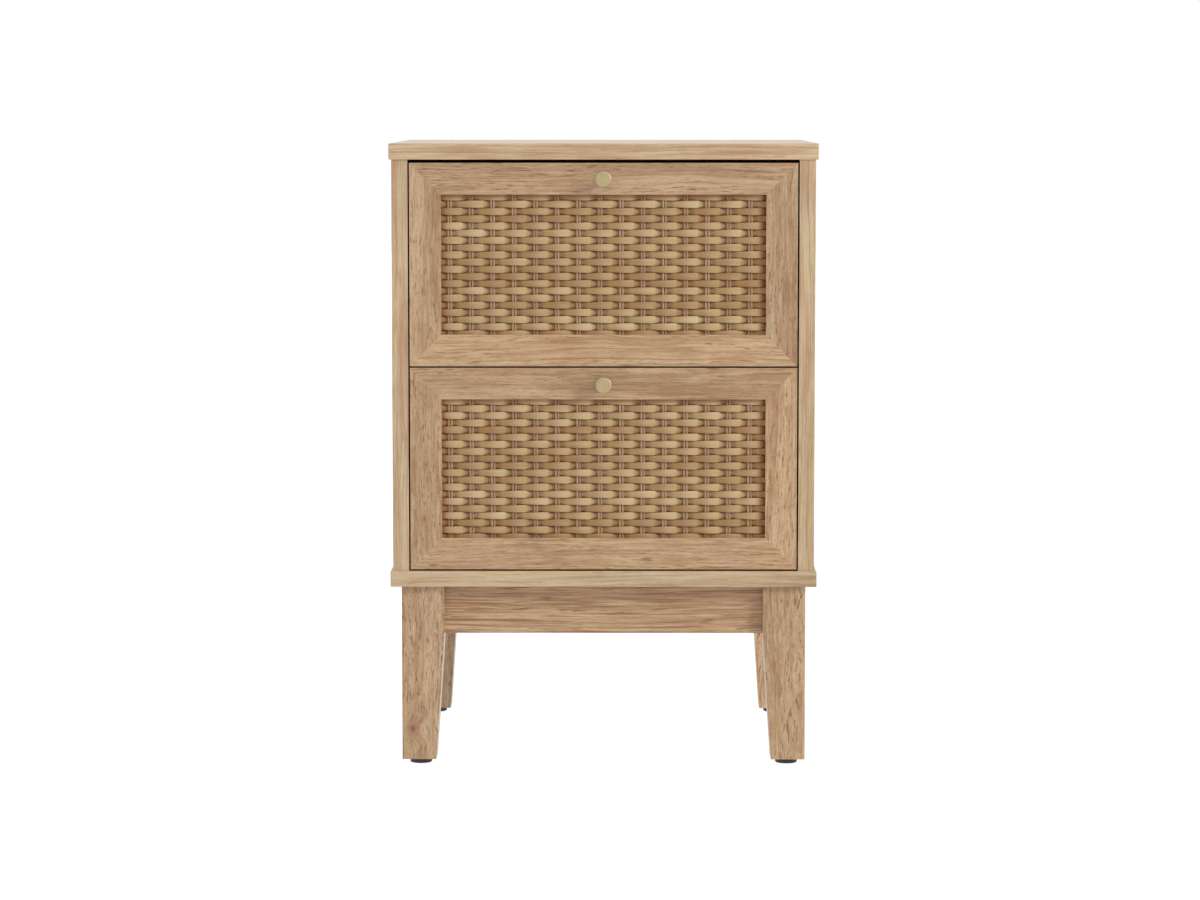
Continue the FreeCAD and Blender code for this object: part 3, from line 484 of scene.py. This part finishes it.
def cane(name, palette, runs_along, roughness):
    """Split cane: a smooth skin with fine lines along the strand, each strand in its own tone."""
    g = Graph(name)
    point = g.object_point()
    fine, broad = (40, 900, 1500), (26, 160, 260)  # rates along X, Y and Z for a strand along X
    if runs_along == "Z":
        fine, broad = fine[::-1], broad[::-1]
    skin = g.noise(g.stretch(point, fine), detail=2)
    patches = g.noise(g.stretch(point, broad, (3, 1, 2)), detail=2)
    # For the wefts, the tone attribute also holds painted shade along each float.
    tone = g.blend((g.attribute("tone"), 0.62), (patches, 0.24), (skin, 0.14))
    colour = g.ramp(tone, [(stop, srgb(*shade)) for stop, shade in zip(CANE_STOPS, palette)])
    # Painted shade: the stain attribute browns the cane along the edges of the hole, where the
    # frame shades the recess.
    colour = g.mix(g.math("MULTIPLY", g.attribute("stain"), 0.7), colour, srgb(*CANE_RECESS_SHADE))
    g.bump(skin, 0.08 * MM, strength=0.7)
    return g.finish(colour, g.rough(skin, roughness - 0.06, roughness + 0.06))


# ---------------------------------------------------------------- metal and plastic

# Rates of the scratches along X, Y and Z, for metal brushed along an axis or every way.
SCRATCHES = {"Z": (2400, 2400, 60), None: (900, 900, 900)}


def brushed_metal(name, colour, dull, roughness, streak_axis=None, metallic=1.0):
    """Metal with fine scratches, along one axis or in every direction."""
    g = Graph(name)
    point = g.object_point()
    scratches = g.noise(g.stretch(point, SCRATCHES[streak_axis]), detail=3, roughness=0.6)
    stain = g.noise(point, 120, detail=3)
    clean = g.span(g.math("ADD", scratches, stain), 0.8, 1.2)
    tint = g.mix(clean, srgb(*dull), srgb(*colour))
    g.bump(scratches, 0.03 * MM, strength=0.6)
    scratched = g.rough(scratches, roughness - 0.08, roughness + 0.08)
    return g.finish(tint, scratched, metallic=metallic)


def moulded(name, colour, roughness, grain=0.06 * MM):
    """Moulded plastic or an epoxy coat, with the fine orange peel of its surface."""
    g = Graph(name)
    point = g.object_point()
    peel = g.noise(point, 1500, detail=2)
    cloud = g.noise(point, 60, detail=2)
    darker = tuple(round(part * 0.9) for part in colour)
    tint = g.ramp(cloud, [(0.35, srgb(*darker)), (0.65, srgb(*colour))])
    g.bump(peel, grain, strength=0.5)
    return g.finish(tint, g.rough(peel, roughness - 0.05, roughness + 0.05))


# ---------------------------------------------------------------- finishes of the CAD nodes

# Pieces and the axis of their grain. A piece's place in its list, added to the list's first
# seed, is the seed of its figure.
OAK_GRAIN = {
    "top_board": "X",
    "bottom_board": "X",
    "left_side_panel": "Z",
    "right_side_panel": "Z",
    "front_apron": "X",
    "rear_apron": "X",
    "left_apron": "Y",
    "right_apron": "Y",
    "front_left_leg": "Z",
    "front_right_leg": "Z",
    "rear_left_leg": "Z",
    "rear_right_leg": "Z",
}
FRAME_GRAIN = {
    "front_top_rail": "X",
    "front_bottom_rail": "X",
    "front_left_stile": "Z",
    "front_right_stile": "Z",
}
# Plywood pieces of a drawer and the axis that their layers are stacked along.
PLY_LAYERS = {
    "left_side": "X",
    "right_side": "X",
    "back": "Y",
    "backing_board": "Y",
}
CARCASS_SEED = 1
FRAME_SEED = {"upper": 40, "lower": 60}
PLY_SEED = 80

BOARD_EDGE = 0.4 * MM
LEG_EDGE = 0.8 * MM  # of legs and aprons
FRAME_EDGE = 0.2 * MM
PLY_EDGE = 0.3 * MM
FLAT_ANGLE = math.radians(0.5)  # faces that meet at less than this are merged
CORNER_ANGLE = math.radians(40)  # edges sharper than this are eased

KNOT_PLACE = (10 * MM, 29 * MM)  # from the low left corner of the front left leg


def paint(node, material):
    mesh_slots = NODES[node].material_slots
    if not mesh_slots:
        NODES[node].data.materials.append(material)
    for mesh_slot in mesh_slots:
        mesh_slot.material = material


def ease_edges(node, width, segments=2):
    """Breaks the sharp edges of a machined board, as a sander leaves them."""
    merge = NODES[node].modifiers.new("merge faces", "DECIMATE")
    merge.decimate_type = "DISSOLVE"
    merge.angle_limit = FLAT_ANGLE
    bevel = NODES[node].modifiers.new("eased edges", "BEVEL")
    bevel.width = width
    bevel.segments = segments
    bevel.limit_method = "ANGLE"
    bevel.angle_limit = CORNER_ANGLE
    bevel.harden_normals = True


def paint_oak(node, grain, seed, family, **choices):
    tone = STRIP_TONE_AND_PAINTED_LIGHT.get(node, 1.0)
    middle = [channel * tone for channel in family["middle"]]
    paint(node, oak(f"oak_{node}", grain, seed, **(family | {"middle": middle}), **choices))


def finish_carcass():
    for seed, (node, grain) in enumerate(OAK_GRAIN.items(), start=CARCASS_SEED):
        family = LEG_OAK if "leg" in node else APRON_OAK if "apron" in node else BOARD_OAK
        knot = None
        if node == "front_left_leg":
            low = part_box(node)[0]
            knot = (low.x + KNOT_PLACE[0], low.z + KNOT_PLACE[1])
        paint_oak(node, grain, seed, family, banded="board" in node, knot=knot)
        ease_edges(node, BOARD_EDGE if family is BOARD_OAK else LEG_EDGE)


def finish_drawer(drawer):
    for seed, (part, grain) in enumerate(FRAME_GRAIN.items(), start=FRAME_SEED[drawer]):
        node = f"{drawer}_{part}"
        paint_oak(node, grain, seed, FRAME_OAK if grain == "X" else STILE_OAK)
        ease_edges(node, FRAME_EDGE, segments=1)
    for seed, (part, axis) in enumerate(PLY_LAYERS.items(), start=PLY_SEED):
        node = f"{drawer}_{part}"
        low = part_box(node)[0]["XYZ".index(axis)]
        stained = part == "backing_board"
        paint(node, plywood(f"ply_{node}", axis, low, seed, stained_front=stained))
        ease_edges(node, PLY_EDGE)


def plain_finishes():
    """The materials that several nodes share, each with its nodes."""
    finishes = [
        (hardboard("hardboard"), ["back_panel"], ["floor"]),
        (beech("beech"), ["carcass_dowels", "apron_dowels"], ["box_dowels"]),
        (brushed_metal("zinc_plate", (196, 198, 202), (158, 160, 166), 0.34),
         ["cam_bolts", "leg_screws", "cabinet_rail_screws", "cabinet_roller_rivets"],
         ["rail_screws", "roller_rivets", "knob_screw"]),
        (brushed_metal("die_cast", (150, 151, 154), (112, 113, 117), 0.5), ["cam_locks"], []),
        (brushed_metal("turned_brass", (214, 182, 112), (176, 140, 78), 0.3), ["leg_inserts"], []),
        (brushed_metal("pale_brass", (192, 176, 134), (178, 160, 120), 0.48, "Z", metallic=0.7),
         [], ["knob"]),
        (moulded("epoxy_coat", (232, 232, 228), 0.4, grain=0.01 * MM),
         [], ["cabinet_rails", "drawer_rails"]),
        (moulded("nylon", (226, 222, 210), 0.45), [], ["cabinet_rollers", "drawer_rollers"]),
        (moulded("black_nylon", (44, 46, 46), 0.5), ["leg_glides"], []),
    ]
    for material, nodes, drawer_parts in finishes:
        yield material, nodes + [f"{drawer}_{part}" for drawer in DRAWERS for part in drawer_parts]


# ---------------------------------------------------------------- woven panels

WARP_PITCH = 20.05 * MM
WARP_COUNT = 15
FIRST_WARP = 7.8 * MM  # from the opening's left edge
WARP_SPREAD = 1.25 * MM  # of each strand of a pair from the pair's middle
WARP_HALF_WIDE = 1.08 * MM
WARP_HALF_THICK = 0.68 * MM
WARP_WANDER = 0.1 * MM
WARP_WAVES = 190  # of its wander, in radians to the metre
WARP_STEPS = 90
WARP_SIDES = 8
ROW_PITCH = 6.73 * MM
FIRST_ROW = 2.3 * MM  # below the opening's top edge
COVERED = 3 * MM  # a row this near to the opening's edge lies behind the frame
WEFT_HALF_THICK = 0.58 * MM
WEFT_HALF_TALL = (2.85 * MM, 3.62 * MM)  # behind a warp, and at a float's middle
WEFT_STEPS = 22  # for each warp pitch
WEFT_SIDES = 12
WEFT_DRIFT = 0.16 * MM  # of a float, up or down
STRAND_ROUNDNESS = 0.8  # 1 is an ellipse, and less is a boxier section
CLEARANCE = 0.05 * MM  # between the weave and the faces of the panel that it replaces
WEAVE_SEED = 7

# Places on a float go from -1 at its left tip, over 0 on its middle warp, to 1 at its right tip.
FLOAT_RISE = (-1.0, -0.52)
FLOAT_DROP = (0.46, 0.80)
FLOAT_FILL = (-0.7, 0.45)
FLOAT_THIN = (0.56, 0.82)
# Painted shade on a float, as its left half turns from the light and its tips dive into shadow
# behind the warps: how much darker it is, and the places between which that goes (left) or comes
# (right).
LEFT_PAINTED_SHADES = ((0.42, -0.4, 0.38), (0.2, -1.0, -0.84))
RIGHT_PAINTED_SHADES = ((0.18, 0.40, 0.62), (0.4, 0.60, 0.80))

# Floats stand further out of the hole in its middle; the bulge comes in over these distances
# from its left and right edges.
FLOAT_BULGE = 0.9 * MM
BULGE_FROM_LEFT = (-1 * MM, 7 * MM)
BULGE_FROM_RIGHT = (1 * MM, 12 * MM)

# Tones of the wefts, 0 to 1: the middle and the spread over the rows, their limits, and how far
# one float may differ from its row. Then the least fullness of a float, and the warps' tones.
ROW_TONE = (0.53, 0.11)
ROW_TONE_LIMITS = (0.38, 0.72)
FLOAT_TONE = 0.1
LEAST_FULL = 0.95
WARP_TONE = (0.3, 0.7)

# Painted shade along each edge of the hole, where the frame shades the recessed cane: its
# strength, and the distances between which it fades.
RECESS_SHADE_LEFT = (1.0, 0.8 * MM, 4.5 * MM)
RECESS_SHADE_RIGHT = (0.65, 3.0 * MM, 14.0 * MM)
RECESS_SHADE_FOOT = (0.2, 1.0 * MM, 6.0 * MM)
RECESS_SHADE_HEAD = (0.75, 0.5 * MM, 4.5 * MM)


def smooth(value, low, high):
    """0 below low, 1 above high, and an even curve between them."""
    share = min(1.0, max(0.0, (value - low) / (high - low)))
    return share * share * (3 - 2 * share)


def opening(drawer):
    """The opening inside the drawer's frame: left, right, foot and head."""
    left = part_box(f"{drawer}_front_left_stile")[1].x
    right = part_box(f"{drawer}_front_right_stile")[0].x
    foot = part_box(f"{drawer}_front_bottom_rail")[1].z
    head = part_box(f"{drawer}_front_top_rail")[0].z
    return left, right, foot, head


def recess_shade_at(point, hole):
    """How much painted shade the cane gets at a place: it is darker along the edges of the hole,
    where the frame shades the recess.
    """
    left, right, foot, head = hole
    edges = ((point.x - left, RECESS_SHADE_LEFT), (right - point.x, RECESS_SHADE_RIGHT),
             (point.z - foot, RECESS_SHADE_FOOT), (head - point.z, RECESS_SHADE_HEAD))
    return max(strength * (1 - smooth(distance, start, end))
               for distance, (strength, start, end) in edges)


class Strands:
    """A set of closed strands that become one object."""

    def __init__(self, sides):
        self.sides = sides
        self.vertices, self.faces, self.tones = [], [], []

    def add(self, path, sizes, tones):
        """Adds a strand along a path, with its half-thickness towards Y, its half-width across
        and its tone at each point."""
        start = len(self.vertices)
        last = len(path) - 1
        for index, (point, (thick, tall), tone) in enumerate(zip(path, sizes, tones)):
            ahead = path[min(index + 1, last)] - path[max(index - 1, 0)]
            ahead.normalize()
            side = ahead.cross(Vector((0, 1, 0))).normalized()
            out = side.cross(ahead).normalized()
            for step in range(self.sides):
                turn = 2 * math.pi * step / self.sides
                flat = math.copysign(abs(math.sin(turn)) ** STRAND_ROUNDNESS, math.sin(turn))
                self.vertices.append(point + side * (math.cos(turn) * tall) + out * (flat * thick))
                self.tones.append(tone)
        for ring in range(last):
            for step in range(self.sides):
                following = (step + 1) % self.sides
                near = start + ring * self.sides
                far = near + self.sides
                self.faces.append((near + step, near + following, far + following, far + step))
        self.faces.append(tuple(start + step for step in reversed(range(self.sides))))
        self.faces.append(tuple(start + last * self.sides + step for step in range(self.sides)))

    def make(self, name, hole, material):
        mesh = bpy.data.meshes.new(name)
        mesh.from_pydata(self.vertices, [], self.faces)
        # The stain attribute holds painted shade along the edges of the hole.
        recess_shades = [recess_shade_at(point, hole) for point in self.vertices]
        for label, values in (("tone", self.tones), ("stain", recess_shades)):
            mesh.attributes.new(label, "FLOAT", "POINT").data.foreach_set("value", values)
        mesh.polygons.foreach_set("use_smooth", [True] * len(mesh.polygons))
        mesh.materials.append(material)
        mesh.update()
        made = bpy.data.objects.new(name, mesh)
        bpy.context.scene.collection.objects.link(made)
        return made


def float_shape(place):
    """How far forward a weft lies, -1 to 1, and its fullness, 0 to 1, at a place on its float.

    A float takes up two warp pitches, from -1 to 1, with its middle over the warp at 0. It rises
    slowly out of the weave on its left and drops sharply behind the next warp on its right.
    """
    forward = smooth(place, *FLOAT_RISE) - smooth(place, *FLOAT_DROP)
    full = smooth(place, *FLOAT_FILL) - smooth(place, *FLOAT_THIN)
    return 2 * forward - 1, full


def painted_float_shade(place):
    """How much painted shade a weft gets at a place on its float: most on its left, which turns
    from the light, and at both tips, where it dives into shadow behind the warps.
    """
    on_left = sum(depth * (1 - smooth(place, low, high)) for depth, low, high in LEFT_PAINTED_SHADES)
    on_right = sum(depth * smooth(place, low, high) for depth, low, high in RIGHT_PAINTED_SHADES)
    return on_left + on_right


def add_weft(wefts, row, level, low, high, hole, chance):
    """Adds one row of the weft, which floats over every other warp."""
    left, right, foot, head = hole
    middle = (low.y + high.y) / 2
    reach = (high.y - low.y) / 2 - WEFT_HALF_THICK - CLEARANCE
    behind_frame = level + COVERED > head or level - COVERED < foot
    darkest, palest = ROW_TONE_LIMITS
    row_tone = min(palest, max(darkest, chance.gauss(*ROW_TONE)))
    floats = range(WARP_COUNT + 4)
    drift = [chance.uniform(-WEFT_DRIFT, WEFT_DRIFT) for _ in floats]
    float_tone = [chance.uniform(-FLOAT_TONE, FLOAT_TONE) for _ in floats]
    fullness = [chance.uniform(LEAST_FULL, 1.0) for _ in floats]
    steps = round((high.x - low.x) / WARP_PITCH * WEFT_STEPS)
    path, sizes, tones = [], [], []
    for step in range(steps + 1):
        x = low.x + (high.x - low.x) * step / steps
        turn = (x - (left + FIRST_WARP)) / WARP_PITCH + row
        number = int((turn + 1) // 2 - row // 2)
        place = (turn + 1) % 2 - 1
        forward, full = float_shape(place)
        inside = smooth(x - left, *BULGE_FROM_LEFT) * smooth(right - x, *BULGE_FROM_RIGHT)
        bulge = 0 if behind_frame else FLOAT_BULGE * inside * max(0.0, forward)
        wander = drift[number] * math.sin(math.pi * ((turn + 1) % 2) / 2)
        path.append(Vector((x, middle - reach * forward - bulge, level + wander)))
        growth = (WEFT_HALF_TALL[1] - WEFT_HALF_TALL[0]) * full * fullness[number]
        sizes.append((WEFT_HALF_THICK, WEFT_HALF_TALL[0] + growth))
        # The weft's tone is its own colour with painted shade taken off it.
        tone = row_tone + float_tone[number] - painted_float_shade(place)
        tones.append(min(1.0, max(0.0, tone)))
    wefts.add(path, sizes, tones)


def add_warp(warps, number, side, low, high, left, tone):
    """Adds one strand of a pair of warps, on its left (-1) or right (1) side."""
    middle = (low.y + high.y) / 2
    x = left + FIRST_WARP + number * WARP_PITCH + side * WARP_SPREAD
    path = []
    for step in range(WARP_STEPS + 1):
        z = low.z + (high.z - low.z) * step / WARP_STEPS
        wander = WARP_WANDER * math.sin(z * WARP_WAVES + number * 2.1 + side)
        path.append(Vector((x + wander, middle, z)))
    warps.add(path, [(WARP_HALF_THICK, WARP_HALF_WIDE)] * len(path), [tone] * len(path))


def weave(drawer, weft_material, warp_material, seed):
    low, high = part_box(f"{drawer}_rattan_panel")
    hole = opening(drawer)
    left, _, _, head = hole
    chance = random.Random(seed)

    wefts = Strands(WEFT_SIDES)
    rows = int((head - FIRST_ROW - low.z) / ROW_PITCH) + 1
    for row in range(-1, rows):
        add_weft(wefts, row, head - FIRST_ROW - row * ROW_PITCH, low, high, hole, chance)
    warps = Strands(WARP_SIDES)
    for number in range(WARP_COUNT):
        for side in (-1, 1):
            add_warp(warps, number, side, low, high, left, chance.uniform(*WARP_TONE))

    weft = wefts.make(f"{drawer}_rattan_weft", hole, weft_material)
    warp = warps.make(f"{drawer}_rattan_warp", hole, warp_material)
    for piece in (weft, warp):
        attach(piece, f"{drawer}_drawer")
        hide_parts(f"{drawer}_rattan_panel")


# ---------------------------------------------------------------- stage

FLOOR_HALF = 12
FLOOR_GAP = 0.2 * MM  # below the glides
FLOOR_GLOW = 0.96

# The room is white to the eye and in gloss, but lights matt surfaces less, so the key light shows.
WORLD_FILL = 0.66
KEY_PLACE = (3.4, -2.6, 2.2)
KEY_TARGET = (0, 0, 0.3)
KEY_SIZE = 1.2
KEY_POWER = 78

CAMERA_SENSOR = 36
CAMERA_LENS = 112.8
CAMERA_SIDE = 0.0169
CAMERA_AHEAD = 3.5025  # in front of the top board's front edge
CAMERA_ABOVE = 0.038  # above the top board
CAMERA_TILT = 84.718
CAMERA_TURN = 0.330


def add_floor():
    mesh = bpy.data.meshes.new("floor")
    corners = [(-1, -1), (1, -1), (1, 1), (-1, 1)]
    level = CAD_BOUNDS[0][2] - FLOOR_GAP
    mesh.from_pydata([(x * FLOOR_HALF, y * FLOOR_HALF, level) for x, y in corners],
                     [], [(0, 1, 2, 3)])
    floor = bpy.data.objects.new("floor", mesh)
    bpy.context.scene.collection.objects.link(floor)
    g = Graph("pale_floor")
    grit = g.noise(g.object_point(), 400)
    grey = g.ramp(grit, [(0.4, srgb(105, 105, 105)), (0.6, srgb(112, 112, 112))])
    mesh.materials.append(g.finish(grey, 0.9, emission_color=(1, 1, 1, 1),
                                   emission_strength=FLOOR_GLOW))
    # Its underside is clear, so that the part can be looked at from below.
    one_sided = g.add("ShaderNodeMixShader")
    g.feed(one_sided.inputs[0], g.add("ShaderNodeNewGeometry").outputs["Backfacing"])
    g.feed(one_sided.inputs[1], g.shader.outputs[0])
    g.feed(one_sided.inputs[2], g.add("ShaderNodeBsdfTransparent").outputs[0])
    output = next(n for n in g.tree.nodes if n.type == "OUTPUT_MATERIAL")
    g.feed(output.inputs["Surface"], one_sided.outputs[0])
    floor.visible_diffuse = False
    floor.visible_glossy = False


def add_key_light():
    data = bpy.data.lights.new("key", "AREA")
    data.shape = "DISK"
    data.size = KEY_SIZE
    data.energy = KEY_POWER
    lamp = bpy.data.objects.new("key", data)
    lamp.location = KEY_PLACE
    facing = Vector(KEY_TARGET) - Vector(KEY_PLACE)
    lamp.rotation_euler = facing.to_track_quat("-Z", "Y").to_euler()
    bpy.context.scene.collection.objects.link(lamp)


def add_world():
    world = bpy.data.worlds.new("studio")
    bpy.context.scene.world = world
    world.use_nodes = True
    background = next(n for n in world.node_tree.nodes if n.type == "BACKGROUND")
    background.inputs["Color"].default_value = (1, 1, 1, 1)
    path = world.node_tree.nodes.new("ShaderNodeLightPath")
    level = world.node_tree.nodes.new("ShaderNodeMapRange")
    level.inputs["To Min"].default_value = 1.0
    level.inputs["To Max"].default_value = WORLD_FILL
    world.node_tree.links.new(path.outputs["Is Diffuse Ray"], level.inputs["Value"])
    world.node_tree.links.new(level.outputs[0], background.inputs["Strength"])


def add_camera():
    data = bpy.data.cameras.new("camera")
    data.sensor_width = CAMERA_SENSOR
    data.lens = CAMERA_LENS
    camera = bpy.data.objects.new("camera", data)
    low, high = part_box("top_board")
    camera.location = (CAMERA_SIDE, low.y - CAMERA_AHEAD, high.z + CAMERA_ABOVE)
    camera.rotation_euler = (math.radians(CAMERA_TILT), 0, math.radians(CAMERA_TURN))
    bpy.context.scene.collection.objects.link(camera)
    bpy.context.scene.camera = camera


finish_carcass()
for drawer_name in DRAWERS:
    finish_drawer(drawer_name)
for shared_material, shared_nodes in plain_finishes():
    for shared_node in shared_nodes:
        paint(shared_node, shared_material)

weft_cane = cane("cane_weft", WEFT_PALETTE, "X", 0.5)
warp_cane = cane("cane_warp", WARP_PALETTE, "Z", 0.55)
for drawer_seed, drawer_name in enumerate(DRAWERS, start=WEAVE_SEED):
    weave(drawer_name, weft_cane, warp_cane, drawer_seed)

add_floor()
add_world()
add_key_light()
add_camera()
bpy.context.scene.view_settings.view_transform = "Standard"
